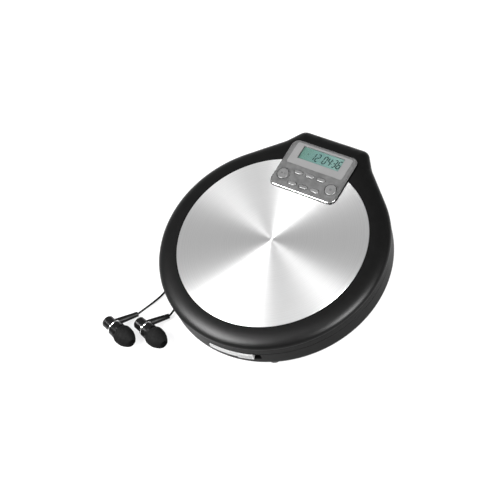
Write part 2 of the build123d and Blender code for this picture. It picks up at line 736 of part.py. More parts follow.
def optical_pickup():
    """The sled with its two bushes and the rack on its front side."""
    x = LENS_X
    body = block(x - 5.5, x + 5.5, -11.6, 11.6, 9.6, 17.4)
    body += upright(4.2, 17.3, 18.6, x, 0)
    body -= upright(2.6, 18.0, 19, x, 0)
    for y in (-ROD_Y, ROD_Y):
        side = 1 if y > 0 else -1
        body += along((x - 5.5, y, ROD_Z), (x + 5.5, y, ROD_Z), 1.9)
        near, far = sorted((11 * side, ROD_Y * side))
        body += block(x - 5.5, x + 5.5, near, far, 11.2, 13.6)
    for y in (-ROD_Y, ROD_Y):
        body -= along((x - 8, y, ROD_Z), (x + 8, y, ROD_Z), ROD_RADIUS + RUNNING_GAP)
    return body + rack()


def tooth_bar(pitch, module):
    """One tooth, root to tip along +Y, centred on its pitch line at y = 0."""
    half = TOOTH_SHARE * pitch / 2
    root = 0.9 * module
    tip = 0.7 * module
    lean = 0.36
    points = [(-half - lean * root, -root), (half + lean * root, -root), (half - lean * tip, tip),
              (-half + lean * tip, tip)]
    return make_face(Polyline(*points, close=True))


def rack():
    """Teeth along the sled's front side; a gap is over the gear at rest."""
    pitch = math.pi * RACK_MODULE
    behind = math.ceil(SLED_TRAVEL / pitch) + 1
    first = GEAR_X - (behind + 0.5) * pitch
    count = behind + 2
    x0 = first - pitch / 2
    x1 = x0 + count * pitch
    bar = block(x0, x1, RACK_Y + 0.45, RACK_Y + 1.6, 11.4, 13.2)
    for index in range(count):
        tooth = Rot(0, 0, 180) * tooth_bar(pitch, RACK_MODULE)
        bar += Pos(first + index * pitch, RACK_Y, 11.4) * extrude(tooth, 1.8)
    arm = block(LENS_X - 5.5, LENS_X + 5.5, RACK_Y + 1.4, -ROD_Y - 1.2, 11.4, 13.2)
    return bar + arm


def gear(module, teeth, height):
    """A spur gear with a tooth pointing along +Y."""
    pitch_radius = module * teeth / 2
    wheel = Circle(pitch_radius - 0.8 * module)
    for index in range(teeth):
        wheel += Rot(0, 0, 360 * index / teeth) * Pos(0, pitch_radius) * tooth_bar(math.pi * module, module)
    return extrude(wheel, height)


def reduction_gear():
    y = RACK_Y - RACK_MODULE * RACK_GEAR_TEETH / 2
    wheel = Pos(0, 0, 9.0) * gear(GEAR_MODULE, BIG_GEAR_TEETH, 1.4)
    wheel += Pos(0, 0, 10.3) * gear(RACK_MODULE, RACK_GEAR_TEETH, 3.0)
    return Pos(GEAR_X, y) * (wheel - upright(1.0 + RUNNING_GAP, 8, 15))


def sled_motor():
    y = RACK_Y - RACK_MODULE * RACK_GEAR_TEETH / 2
    x = GEAR_X - GEAR_MODULE * (BIG_GEAR_TEETH + PINION_TEETH) / 2
    motor = upright(6.0, FLOOR_TOP, 8.4, x, y)
    return motor - upright(0.75 + RUNNING_GAP, 5, 9, x, y)


def motor_pinion():
    """The small gear on the sled motor's shaft; a tooth points at the reduction gear."""
    y = RACK_Y - RACK_MODULE * RACK_GEAR_TEETH / 2
    x = GEAR_X - GEAR_MODULE * (BIG_GEAR_TEETH + PINION_TEETH) / 2
    pinion = Rot(0, 0, -90) * Pos(0, 0, 8.9) * gear(GEAR_MODULE, PINION_TEETH, 1.6)
    return Pos(x, y) * (pinion + upright(0.75, 5.5, 10.4))


# ---------------------------------------------------------------- earphones

# Routes of the cords, from each earbud to the tied hank and from the plug to the hank.
LEFT_ROUTE = [(-63.2, -66.6, 2.3), (-60.3, -58.6, 1.3), (-56.6, -48.2, 1.0), (-56.2, -38.5, 0.9),
              (-62.8, -28.5, 0.9), (-69.5, -15.5, 0.9), (-73.6, 0.5, 0.9), (-75.5, 17.5, 0.9),
              (-73.0, 34.0, 0.9), (-66.8, 46.14, 1.2), (-61.05, 51.7, 1.2)]
RIGHT_ROUTE = [(-44.2, -59.8, 2.3), (-43.6, -53.4, 1.1), (-47.5, -45.0, 0.9), (-54.5, -34.5, 0.9),
               (-61.5, -24.5, 0.9), (-67.5, -12.0, 0.9), (-70.8, 2.5, 0.9), (-72.3, 18.0, 0.9),
               (-69.8, 32.5, 0.9), (-65.42, 44.7, 1.2), (-59.66, 50.26, 1.2)]
PLUG_ROUTE = [(-68.96, 30.44, 9.0), (-67.9, 36.4, 8.5), (-65.4, 41.4, 6.6), (-61.79, 45.98, 4.7),
              (-58.55, 49.11, 4.2)]
BUD_Z = 6.15
BUD_AXIS = (0.9655, -0.2604, 0)
LEFT_BUD = (-76.0, -79.7)
RIGHT_BUD = (-57.2, -72.4)


def bend_radii(points):
    """The largest arc that each corner's two runs allow."""
    radii = []
    for before, here, after in zip(points, points[1:], points[2:]):
        first = Vector(*here) - Vector(*before)
        second = Vector(*after) - Vector(*here)
        half_turn = math.radians(first.get_angle(second)) / 2
        radii.append(0.45 * min(first.length, second.length) / math.tan(half_turn))
    return radii


def cord(name, points, diameter):
    """A cord's tube of straight runs and tangent arcs; prints its bends and checks its volume."""
    radii = bend_radii(points)
    path = FilletPolyline(*points, radius=radii)
    start = Plane(origin=path @ 0, z_dir=path % 0)
    tube = sweep(start * Circle(diameter / 2), path=path)
    share = tube.volume / (math.pi * diameter ** 2 / 4 * path.length)
    print(name, "length", round(path.length, 1), "volume share", round(share, 4),
          "radii", [round(radius, 1) for radius in radii])
    return tube


def hank_place(run, out, z):
    """A place beside the tab's left flank: along the flank, away from it and up."""
    leave, flare, corner = flank_points()
    course = (flare - leave).normalized()
    outward = Vector(course.Y, -course.X)
    spot = leave + course * run + outward * out
    return Vector(-spot.X, spot.Y, z)


def hank_bar(start, end, middle_out, middle_z, width, height, corner):
    """A rounded bar beside the flank."""
    origin = hank_place(start, middle_out, middle_z)
    far = hank_place(end, middle_out, middle_z)
    side = hank_place(start, middle_out + 1, middle_z) - origin
    plane = Plane(origin=origin, x_dir=side, z_dir=far - origin)
    return extrude(plane * RectangleRounded(width, height, corner), end - start)


def cord_hank():
    """The tied bundle that holds the unseen length of all three cords."""
    return hank_bar(-8, 36, 6.75, 3.4, 8.5, 6.0, 2.4)


def cord_splitter():
    return hank_bar(36, 45, 7.0, 1.9, 4.6, 3.0, 1.2)


def headphone_plug():
    """The plug's metal shaft, with its two insulating grooves and its waist."""
    shaft = side_hole(-HEADPHONE_ANGLE, PLUG_RADIUS, JACK_Z, 55.6, 69.5)
    waist = side_hole(-HEADPHONE_ANGLE, 3, JACK_Z, 57.6, 58.4)
    return shaft - (waist - side_hole(-HEADPHONE_ANGLE, 1.3, JACK_Z, 57, 59))


def plug_grip():
    """The right-angled grip beside the wall and its tapered strain relief."""
    centre = polar(73.2, -HEADPHONE_ANGLE, JACK_Z)
    course = polar(1, -HEADPHONE_ANGLE - 90)
    grip = along(polar(69.5, -HEADPHONE_ANGLE, JACK_Z), centre, 2.6)
    barrel = along(centre - course * 3.2, centre + course * 12, 3.0)
    grip += fillet(barrel.edges().filter_by(GeomType.CIRCLE), 0.8)
    tail = Plane(origin=centre + course * 11.5, z_dir=course)
    return grip + loft([tail * Circle(1.9), Plane(origin=centre + course * 18, z_dir=course) * Circle(1.2)])


def bud_frame(spot):
    """A frame at the earbud's rear end, with Z along it towards the ear."""
    return Plane(origin=(spot[0], spot[1], BUD_Z), x_dir=(0, 0, 1), z_dir=BUD_AXIS)


def turned(profile):
    """A solid of revolution from points given as (distance along the bud, radius)."""
    outline = Polyline(*[(radius, along_bud) for along_bud, radius in profile], close=True)
    return revolve(Plane.XZ * make_face(outline), Axis.Z)


def earbud_housing():
    return turned([(-0.5, 0), (-0.5, 3.1), (-0.2, 3.6), (0.5, 3.95), (6.4, 4.0), (6.4, 3.6), (7.6, 3.6),
                   (7.6, 4.9), (11.0, 5.0), (12.2, 4.5), (12.2, 2.4), (14.5, 2.4), (14.5, 0)])


def earbud_ring():
    return turned([(6.4, 3.6), (6.4, 4.6), (6.7, 4.9), (7.3, 4.9), (7.6, 4.6), (7.6, 3.6)])


def ear_tip():
    """A soft tip: a collar on the nozzle, with an open mouth at its end."""
    return turned([(12.2, 2.4), (12.2, 4.6), (12.8, 5.5), (14.0, 6.0), (16.0, 6.05), (18.4, 5.75),
                   (20.6, 4.9), (22.4, 3.8), (23.3, 3.0), (23.5, 2.2), (21.5, 1.9), (14.5, 1.9), (14.5, 2.4)])


def stem_ends(spot, route):
    axis = Vector(*BUD_AXIS)
    start = Vector(spot[0], spot[1], BUD_Z) + axis * 3.4
    return start, Vector(*route[0])


def earbud_stem(spot, route):
    """The tapered relief between the housing and the cord."""
    start, end = stem_ends(spot, route)
    course = (end - start).normalized()
    lower = Plane(origin=start, z_dir=course)
    upper = Plane(origin=end, z_dir=course)
    stem = loft([lower * Circle(2.4), upper * Circle(1.55)])
    room = turned([(-1, 0), (-1, 4.0), (6.4, 4.0), (6.4, 4.9), (7.6, 4.9), (12, 5.05), (12, 0)])
    return stem - bud_frame(spot).location * room


def both_buds(piece):
    group = Part()
    for spot in (LEFT_BUD, RIGHT_BUD):
        group += bud_frame(spot).location * piece
    return group


def pickup_lens():
    return upright(2.4, 18.0, 19.9, LENS_X, 0)


def battery_contacts():
    """Two coil springs and four contact plates."""
    return Part() + [battery_springs(), battery_plates()]


def lid_board_with_contacts():
    return Part() + [lid_circuit_board(), key_contacts()]


save("lid_shell", lid_shell())
save("lid_trim_plate", lid_trim_plate())
save("lid_inner_cover", lid_inner_cover())
save("lid_screws", lid_screws())
save("panel_trim", panel_trim())
save("panel_frame", panel_frame())
save("display_bezel", display_bezel())
save("display_window", display_window())
save("lcd_module", lcd_module())
save("lid_circuit_board", lid_board_with_contacts())
for node, kind, x, front in key_spots():
    save(node, key(kind, x, front))
save("upper_cabinet", upper_cabinet())
save("lower_cabinet", lower_cabinet())
save("battery_door", battery_door())
save("battery_contacts", battery_contacts())
save("rubber_feet", rubber_feet())
save("case_screws", case_screws())
save("latch_slider", latch_slider())
save("latch_hook", latch_hook())
save("latch_spring", latch_spring())
save("hinge_pins", hinge_pins())
save("hinge_spring", hinge_spring())
save("lid_switch_case", lid_switch_case())
save("lid_switch_plunger", lid_switch_plunger())
save("hold_slider", hold_slider())
save("headphone_jack", headphone_jack())
save("line_out_jack", line_out_jack())
save("dc_jack", dc_jack())
save("main_circuit_board", main_circuit_board())
save("circuit_chips", circuit_chips())
save("mechanism_chassis", mechanism_chassis())
save("chassis_dampers", chassis_dampers())
save("mechanism_screws", mechanism_screws())
save("spindle_motor", spindle_motor())
save("turntable", turntable())
save("disc_clamp_balls", disc_clamp_balls())
save("pickup_rods", pickup_rods())
save("optical_pickup", optical_pickup())
save("objective_lens", pickup_lens())
save("reduction_gear", reduction_gear())
save("sled_motor", sled_motor())
save("motor_pinion", motor_pinion())
save("headphone_plug", headphone_plug())
save("plug_grip", plug_grip())
save("plug_cord", cord("plug_cord", PLUG_ROUTE, CORD_DIAMETER))
save("cord_hank", cord_hank())
save("cord_splitter", cord_splitter())
save("left_cord", cord("left_cord", LEFT_ROUTE, BRANCH_DIAMETER))
save("right_cord", cord("right_cord", RIGHT_ROUTE, BRANCH_DIAMETER))
save("earbud_housings", both_buds(earbud_housing()))
save("earbud_rings", both_buds(earbud_ring()))
save("ear_tips", both_buds(ear_tip()))
save("earbud_stems", Part() + [earbud_stem(LEFT_BUD, LEFT_ROUTE), earbud_stem(RIGHT_BUD, RIGHT_ROUTE)])
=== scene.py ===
import bmesh
import bpy
import math
from mathutils import Matrix, Vector


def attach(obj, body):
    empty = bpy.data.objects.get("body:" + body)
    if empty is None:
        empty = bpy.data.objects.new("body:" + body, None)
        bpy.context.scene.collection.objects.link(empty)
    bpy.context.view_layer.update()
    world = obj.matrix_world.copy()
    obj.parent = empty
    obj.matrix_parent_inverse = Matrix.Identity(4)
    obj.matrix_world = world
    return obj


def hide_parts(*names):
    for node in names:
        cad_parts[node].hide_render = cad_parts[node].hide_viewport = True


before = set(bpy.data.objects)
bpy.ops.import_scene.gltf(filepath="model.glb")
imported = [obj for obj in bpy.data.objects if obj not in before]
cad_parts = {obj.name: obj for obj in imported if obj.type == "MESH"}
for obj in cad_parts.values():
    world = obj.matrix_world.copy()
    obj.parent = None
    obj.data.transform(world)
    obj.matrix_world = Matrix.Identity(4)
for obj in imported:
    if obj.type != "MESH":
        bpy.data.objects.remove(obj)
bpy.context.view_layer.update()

MM = 0.001
SPINDLE = Vector((0, -4.5, 0))        # the disc's axis in the row's frame, mm


def place(x, y, z):
    """A point given from the spindle axis in millimetres, in the row's frame in metres."""
    return (Vector((x, y, z)) + SPINDLE) * MM


# ---------------------------------------------------------------- camera

AZIMUTH = math.radians(49.115)
ELEVATION = math.radians(55.111)
ROLL = math.radians(-22.433)
DISTANCE = 0.7085
PLATE_TOP = 27.2                      # the camera turns about the middle of the lid's plate, mm

camera_data = bpy.data.cameras.new("camera")
camera_data.lens = 87.16
camera_data.sensor_width = 36
camera_data.shift_x = -0.0429
camera_data.shift_y = -0.0211
camera_data.clip_start = 0.05
camera_data.clip_end = 20
camera = bpy.data.objects.new("camera", camera_data)
bpy.context.scene.collection.objects.link(camera)
back = Vector((math.sin(AZIMUTH) * math.cos(ELEVATION), -math.cos(AZIMUTH) * math.cos(ELEVATION),
               math.sin(ELEVATION)))
level = Vector((math.cos(AZIMUTH), math.sin(AZIMUTH), 0))
upper = back.cross(level)
side = math.cos(ROLL) * level + math.sin(ROLL) * upper
rise = -math.sin(ROLL) * level + math.cos(ROLL) * upper
turn = Matrix((side, rise, back)).transposed().to_4x4()
camera.matrix_world = Matrix.Translation(place(0, 0, PLATE_TOP) + back * DISTANCE) @ turn
bpy.context.scene.camera = camera


# ---------------------------------------------------------------- cords

BRANCH = 1.3                          # diameters of the two leads and of the main cord, mm
LEAD = 1.7
LEFT_ROUTE = [(-63.2, -66.6, 2.3), (-60.3, -58.6, 1.3), (-56.6, -48.2, 1.0), (-56.2, -38.5, 0.9),
              (-62.8, -28.5, 0.9), (-69.5, -15.5, 0.9), (-73.6, 0.5, 0.9), (-75.5, 17.5, 0.9),
              (-73.0, 34.0, 0.9), (-66.8, 46.14, 1.2)]
RIGHT_ROUTE = [(-44.2, -59.8, 2.3), (-43.6, -53.4, 1.1), (-47.5, -45.0, 0.9), (-54.5, -34.5, 0.9),
               (-61.5, -24.5, 0.9), (-67.5, -12.0, 0.9), (-70.8, 2.5, 0.9), (-72.3, 18.0, 0.9),
               (-69.8, 32.5, 0.9), (-65.42, 44.7, 1.2)]
PLUG_ROUTE = [(-68.96, 30.44, 9.0), (-67.9, 36.4, 8.5), (-65.4, 41.4, 6.6), (-61.79, 45.98, 4.7)]
FLANK_START = Vector((-48.6, 50.4, 0))     # where the tab's left flank leaves the round body
FLANK_COURSE = Vector((0.7193, 0.6947, 0))
FLANK_OUT = Vector((-0.6947, 0.7193, 0))
HANK_MIDDLE = 6.75                    # the hank's middle away from the flank, mm
HANK_FRONT = -7.0                     # its two ends along the flank, mm
HANK_REAR = 35.0
HANK_CENTRE = (HANK_FRONT + HANK_REAR) / 2
CORNER_SHARE = 0.414                  # half the side of an octagon drawn round a circle of radius 1
FOLD = [(-CORNER_SHARE, -1), (CORNER_SHARE, -1), (1, -CORNER_SHARE), (1, CORNER_SHARE), (CORNER_SHARE, 1),
        (-CORNER_SHARE, 1)]
WIDE_FOLD = 3.0                       # folds of a smaller radius stop short of the hank's end
SHORT_STOP = 1.2


def hank_place(run, out, z):
    """A place in the tied hank beside the left flank: along it, away from it and up, in mm."""
    spot = FLANK_START + FLANK_COURSE * run + FLANK_OUT * out
    return (spot.x, spot.y, z)


def pinched(run, out, z):
    """A place near the middle, where the tie pulls the runs together."""
    height = 3.2
    return hank_place(run, HANK_MIDDLE + (out - HANK_MIDDLE) * 0.84, height + (z - height) * 0.88)


def hank_runs(lanes):
    """Runs between the two ends of the hank, joined by round folds; lanes gives each run's (out, z)."""
    points = [hank_place(HANK_FRONT + 9, *lanes[0])]
    for index, (out, z) in enumerate(lanes):
        way = 1 if index % 2 == 0 else -1
        points += [pinched(HANK_CENTRE - 6 * way, out, z), pinched(HANK_CENTRE + 6 * way, out, z)]
        if index + 1 < len(lanes):
            next_out, next_z = lanes[index + 1]
            half = (next_out - out) / 2
            radius = abs(half)
            end = (HANK_REAR if way > 0 else HANK_FRONT) - way * (SHORT_STOP if radius < WIDE_FOLD else 0)
            for forward, across in FOLD:
                height = z + (next_z - z) * (across + 1) / 2
                run = end + way * radius * (forward - 1)
                points.append(hank_place(run, out + half * (across + 1), height))
    points.append(hank_place(HANK_REAR - 5, *lanes[-1]))
    return points


def cord_curve(name, points, diameter, material):
    """A smooth cord on one open spline through the given control points, in mm from the spindle."""
    data = bpy.data.curves.new(name, "CURVE")
    data.dimensions = "3D"
    spline = data.splines.new("NURBS")
    spline.points.add(len(points) - 1)
    for target, point in zip(spline.points, points):
        target.co = (*place(*point), 1)
    spline.order_u = 3
    spline.use_endpoint_u = True
    spline.resolution_u = 10
    data.bevel_depth = diameter * MM / 2
    data.bevel_resolution = 5
    data.use_fill_caps = True
    piece = bpy.data.objects.new(name, data)
    bpy.context.scene.collection.objects.link(piece)
    data.materials.append(material)
    return piece


# ---------------------------------------------------------------- materials

def new_material(name):
    """A material with its Principled shader and node tree."""
    material = bpy.data.materials.new(name)
    material.use_nodes = True
    tree = material.node_tree
    shader = tree.nodes["Principled BSDF"]
    return material, tree, shader


def feed(tree, socket, value):
    """Links another node's output to the socket, or sets a plain value on it."""
    if isinstance(value, bpy.types.NodeSocket):
        tree.links.new(value, socket)
    else:
        socket.default_value = value


def coordinates(tree, kind):
    """The piece's own coordinates, or its normal in them."""
    return tree.nodes.new("ShaderNodeTexCoord").outputs[kind]


def split(tree, vector):
    """The three parts of a vector."""
    node = tree.nodes.new("ShaderNodeSeparateXYZ")
    tree.links.new(vector, node.inputs["Vector"])
    return node.outputs


def vector_maths(tree, operation, *values):
    """One step of vector arithmetic."""
    node = tree.nodes.new("ShaderNodeVectorMath")
    node.operation = operation
    for socket, value in zip(node.inputs, values):
        feed(tree, socket, value)
    return node.outputs


def remap(tree, value, from_low, from_high, to_low=0.0, to_high=1.0):
    """The value's range from_low..from_high mapped to to_low..to_high."""
    node = tree.nodes.new("ShaderNodeMapRange")
    for name, amount in (("Value", value), ("From Min", from_low), ("From Max", from_high),
                         ("To Min", to_low), ("To Max", to_high)):
        feed(tree, node.inputs[name], amount)
    return node.outputs["Result"]


def spread(tree, value, low, high):
    """The middle range of a noise mapped to low..high."""
    return remap(tree, value, 0.3, 0.7, low, high)


def noise(tree, scale, detail=3.0, roughness=0.6, stretch=(1, 1, 1)):
    """Noise in the piece's own coordinates; scale is per metre."""
    texture = tree.nodes.new("ShaderNodeTexNoise")
    texture.inputs["Scale"].default_value = scale
    texture.inputs["Detail"].default_value = detail
    texture.inputs["Roughness"].default_value = roughness
    mapping = tree.nodes.new("ShaderNodeMapping")
    mapping.inputs["Scale"].default_value = stretch
    tree.links.new(coordinates(tree, "Object"), mapping.inputs["Vector"])
    tree.links.new(mapping.outputs["Vector"], texture.inputs["Vector"])
    return texture.outputs["Fac"]


def tint(tree, value, dark, light):
    """A colour that runs from dark to light with the value."""
    ramp = tree.nodes.new("ShaderNodeValToRGB")
    for element, position, colour in zip(ramp.color_ramp.elements, (0.3, 0.7), (dark, light)):
        element.position = position
        element.color = (*colour, 1)
    tree.links.new(value, ramp.inputs["Fac"])
    return ramp.outputs["Color"]


def bump(tree, shader, height, strength, distance):
    """Fine relief from a height value; distance in metres."""
    node = tree.nodes.new("ShaderNodeBump")
    node.inputs["Strength"].default_value = strength
    node.inputs["Distance"].default_value = distance
    tree.links.new(height, node.inputs["Height"])
    tree.links.new(node.outputs["Normal"], shader.inputs["Normal"])


def surface(name, dark, light, rough, metallic=0.0, grain=1500, relief=0.15, depth=0.00002, coat=0.0,
            specular=0.5, sheen=0.0):
    """A general finish: colour and roughness vary with a grain that also gives the relief."""
    material, tree, shader = new_material(name)
    shader.inputs["Metallic"].default_value = metallic
    shader.inputs["Specular IOR Level"].default_value = specular
    shader.inputs["Coat Weight"].default_value = coat
    shader.inputs["Coat Roughness"].default_value = 0.1
    shader.inputs["Sheen Weight"].default_value = sheen
    fine = noise(tree, grain)
    broad = noise(tree, grain / 14, 2.0)
    tree.links.new(tint(tree, broad, dark, light), shader.inputs["Base Color"])
    tree.links.new(spread(tree, fine, *rough), shader.inputs["Roughness"])
    if relief:
        bump(tree, shader, fine, relief, depth)
    return material


# Painted reflection fans: the spun plate's base colour by angle round the spindle, darker in some sectors to
# stand in for bands of reflected light, as a share of a full turn from the front
PAINTED_FANS = [(0.001, 0.94), (0.25, 0.9), (0.5, 0.94), (0.75, 0.9), (0.999, 0.94)]


def painted_fan_tone(tree, parts):
    """Painted reflection fans: the plate's base colour by angle round the spindle, darker in some sectors in
    place of reflected light.
    """
    angle = tree.nodes.new("ShaderNodeMath")
    angle.operation = "ARCTAN2"
    tree.links.new(parts["X"], angle.inputs[0])
    tree.links.new(parts["Y"], angle.inputs[1])
    painted_fans = tree.nodes.new("ShaderNodeValToRGB")
    tree.links.new(remap(tree, angle.outputs["Value"], -math.pi, math.pi), painted_fans.inputs["Fac"])
    ramp = painted_fans.color_ramp
    ramp.interpolation = "EASE"
    for position, tone in PAINTED_FANS:
        ramp.elements.new(position).color = (tone, tone, tone, 1)
    ramp.elements.remove(ramp.elements[0])
    ramp.elements.remove(ramp.elements[-1])
    return painted_fans.outputs["Color"]


def ring_grain(tree, parts):
    """Fine noise that depends only on the distance from the spindle."""
    flat = tree.nodes.new("ShaderNodeCombineXYZ")
    tree.links.new(parts["X"], flat.inputs["X"])
    tree.links.new(parts["Y"], flat.inputs["Y"])
    rings = tree.nodes.new("ShaderNodeTexNoise")
    rings.noise_dimensions = "1D"
    rings.inputs["Scale"].default_value = 2600
    rings.inputs["Detail"].default_value = 4
    tree.links.new(vector_maths(tree, "LENGTH", flat.outputs["Vector"])["Value"], rings.inputs["W"])
    return rings.outputs["Fac"]


def spun_metal(name):
    """A disc of circularly brushed metal: fine rings, fans of light that follow the brushing, and painted
    reflection fans in its colour by angle round the spindle.
    """
    material, tree, shader = new_material(name)
    shader.inputs["Metallic"].default_value = 1.0
    shader.inputs["Anisotropic"].default_value = 0.8
    shader.inputs["Anisotropic Rotation"].default_value = 0.25
    centred = vector_maths(tree, "SUBTRACT", coordinates(tree, "Object"), place(0, 0, 0))["Vector"]
    around = vector_maths(tree, "CROSS_PRODUCT", (0, 0, 1), centred)["Vector"]
    turned = tree.nodes.new("ShaderNodeVectorTransform")
    turned.vector_type = "VECTOR"
    turned.convert_from = "OBJECT"
    turned.convert_to = "WORLD"
    tree.links.new(around, turned.inputs["Vector"])
    brushing = vector_maths(tree, "NORMALIZE", turned.outputs["Vector"])["Vector"]
    tree.links.new(brushing, shader.inputs["Tangent"])
    parts = split(tree, centred)
    rings = ring_grain(tree, parts)
    tone = tree.nodes.new("ShaderNodeMixRGB")
    tone.blend_type = "MULTIPLY"
    tone.inputs["Fac"].default_value = 1.0
    # painted reflection fans: the base colour darkens by sector round the spindle
    tree.links.new(painted_fan_tone(tree, parts), tone.inputs["Color1"])
    tree.links.new(tint(tree, rings, (0.9, 0.9, 0.9), (1, 1, 1)), tone.inputs["Color2"])
    tree.links.new(tone.outputs["Color"], shader.inputs["Base Color"])
    tree.links.new(spread(tree, rings, 0.3, 0.42), shader.inputs["Roughness"])
    bump(tree, shader, rings, 0.12, 0.00002)
    return material


def rim_metal_painted_shade(name, top, side):
    """Polished trim with painted shade: its base colour runs from the dark side tone on walls that face
    sideways to the top tone on faces that look up, standing in for the shade under the panel's edge.
    """
    material, tree, shader = new_material(name)
    shader.inputs["Metallic"].default_value = 1.0
    painted_shade_mask = remap(tree, split(tree, coordinates(tree, "Normal"))["Z"], 0.4, 0.8)
    # painted shade: faces that turn sideways get the dark side tone
    tree.links.new(tint(tree, painted_shade_mask, side, top), shader.inputs["Base Color"])
    tree.links.new(spread(tree, noise(tree, 500), 0.2, 0.28), shader.inputs["Roughness"])
    return material


def clear_window(name, tone, alpha):
    """Clear plastic that lets light straight through and only shines."""
    material, tree, shader = new_material(name)
    shader.inputs["Base Color"].default_value = (*tone, 1)
    shader.inputs["Alpha"].default_value = alpha
    shader.inputs["IOR"].default_value = 1.49
    tree.links.new(spread(tree, noise(tree, 400), 0.03, 0.07), shader.inputs["Roughness"])
    return material


def display_face(name):
    """The display's reflector: teal, paler towards its right end."""
    material, tree, shader = new_material(name)
    half_width = 14 * MM
    along = remap(tree, split(tree, coordinates(tree, "Object"))["X"], -half_width, half_width)
    ramp = tree.nodes.new("ShaderNodeValToRGB")
    ramp.color_ramp.elements[0].color = (0.055, 0.11, 0.09, 1)
    ramp.color_ramp.elements[1].color = (0.10, 0.165, 0.15, 1)
    ramp.color_ramp.elements.new(0.42).color = (0.07, 0.13, 0.12, 1)
    tree.links.new(along, ramp.inputs["Fac"])
    tree.links.new(ramp.outputs["Color"], shader.inputs["Base Color"])
    shader.inputs["Specular IOR Level"].default_value = 0.1
    tree.links.new(spread(tree, noise(tree, 6000), 0.35, 0.5), shader.inputs["Roughness"])
    return material


def radial_grain(name, tone, rough):
    """Turned metal with fine lines."""
    material, tree, shader = new_material(name)
    shader.inputs["Metallic"].default_value = 1.0
    lines = noise(tree, 900, 4.0, 0.7, (1, 1, 9))
    dark = tuple(0.8 * part for part in tone)
    tree.links.new(tint(tree, lines, dark, tone), shader.inputs["Base Color"])
    tree.links.new(spread(tree, lines, rough, rough + 0.12), shader.inputs["Roughness"])
    bump(tree, shader, lines, 0.08, 0.00001)
    return material


def grey(tone):
    return (tone, tone, tone)


LID_BLACK = surface("lid_black", grey(0.0006), grey(0.0012), (0.34, 0.4), grain=2600, relief=0.10,
                    depth=0.000012, specular=0.16)
CABINET = surface("cabinet_grey", grey(0.002), grey(0.003), (0.36, 0.46), grain=2600, relief=0.2,
                  specular=0.05)
SPUN = spun_metal("spun_metal")
# panel trim whose walls carry painted shade
CHROME_PAINTED_SHADE = rim_metal_painted_shade("panel_chrome", grey(0.36), grey(0.012))
PANEL = surface("panel_grey", grey(0.045), grey(0.07), (0.44, 0.58), 0.3, grain=3800, relief=0.3)
SURROUND = surface("display_surround", grey(0.115), grey(0.13), (0.3, 0.38), 0.3, grain=900, relief=0.03)
KEYS = surface("key_silver", grey(0.12), grey(0.16), (0.26, 0.36), 0.6, grain=3000, relief=0.05)
WINDOW = clear_window("display_window", (0.02, 0.03, 0.03), 0.12)
DISPLAY = display_face("display_face")
SEGMENTS = surface("display_segments", (0.001, 0.003, 0.003), (0.002, 0.005, 0.005), (0.4, 0.5), grain=4000,
                   relief=0.0, specular=0.02)
PRINT = surface("panel_print", grey(0.03), grey(0.05), (0.45, 0.6), grain=4000, relief=0.0)
INNER = surface("inner_plastic", grey(0.012), grey(0.022), (0.42, 0.58), grain=1800, relief=0.3)
STEEL = radial_grain("plated_steel", grey(0.55), 0.24)
SILVER = surface("latch_silver", grey(0.3), grey(0.34), (0.3, 0.4), 0.4, grain=3000, relief=0.08)
BOARD = surface("circuit_board", (0.008, 0.05, 0.025), (0.012, 0.09, 0.045), (0.25, 0.4), grain=700,
                relief=0.1, coat=0.4)
RUBBER = surface("foot_rubber", grey(0.012), grey(0.02), (0.7, 0.85), grain=1500, relief=0.4)
SOCKET = surface("socket_plastic", grey(0.006), grey(0.01), (0.3, 0.42), grain=2000, relief=0.1)
LENS = clear_window("lens_glass", (0.25, 0.3, 0.75), 0.65)
ACETAL = surface("gear_plastic", (0.6, 0.6, 0.56), (0.7, 0.7, 0.66), (0.4, 0.5), grain=1200, relief=0.1)
BRASS = radial_grain("pinion_brass", (0.6, 0.42, 0.16), 0.28)
GOLD = radial_grain("plug_plating", (0.75, 0.72, 0.66), 0.16)
CORD = surface("cord_jacket", grey(0.002), grey(0.004), (0.36, 0.5), grain=2400, relief=0.15, specular=0.15)
GLOSS = surface("earbud_gloss", grey(0.002), grey(0.003), (0.14, 0.2), grain=1200, relief=0.02, specular=0.2)
STEM = surface("earbud_stem", grey(0.002), grey(0.003), (0.3, 0.4), grain=2000, relief=0.12, specular=0.12)
BUD_CHROME = surface("earbud_chrome", grey(0.8), grey(0.86), (0.06, 0.12), 1.0, grain=600, relief=0.02)
SILICONE = surface("ear_silicone", grey(0.004), grey(0.006), (0.55, 0.66), grain=2600, relief=0.2,
                   specular=0.02)
TIE = surface("tie_band", grey(0.012), grey(0.02), (0.6, 0.75), grain=5000, relief=0.6, sheen=0.4)

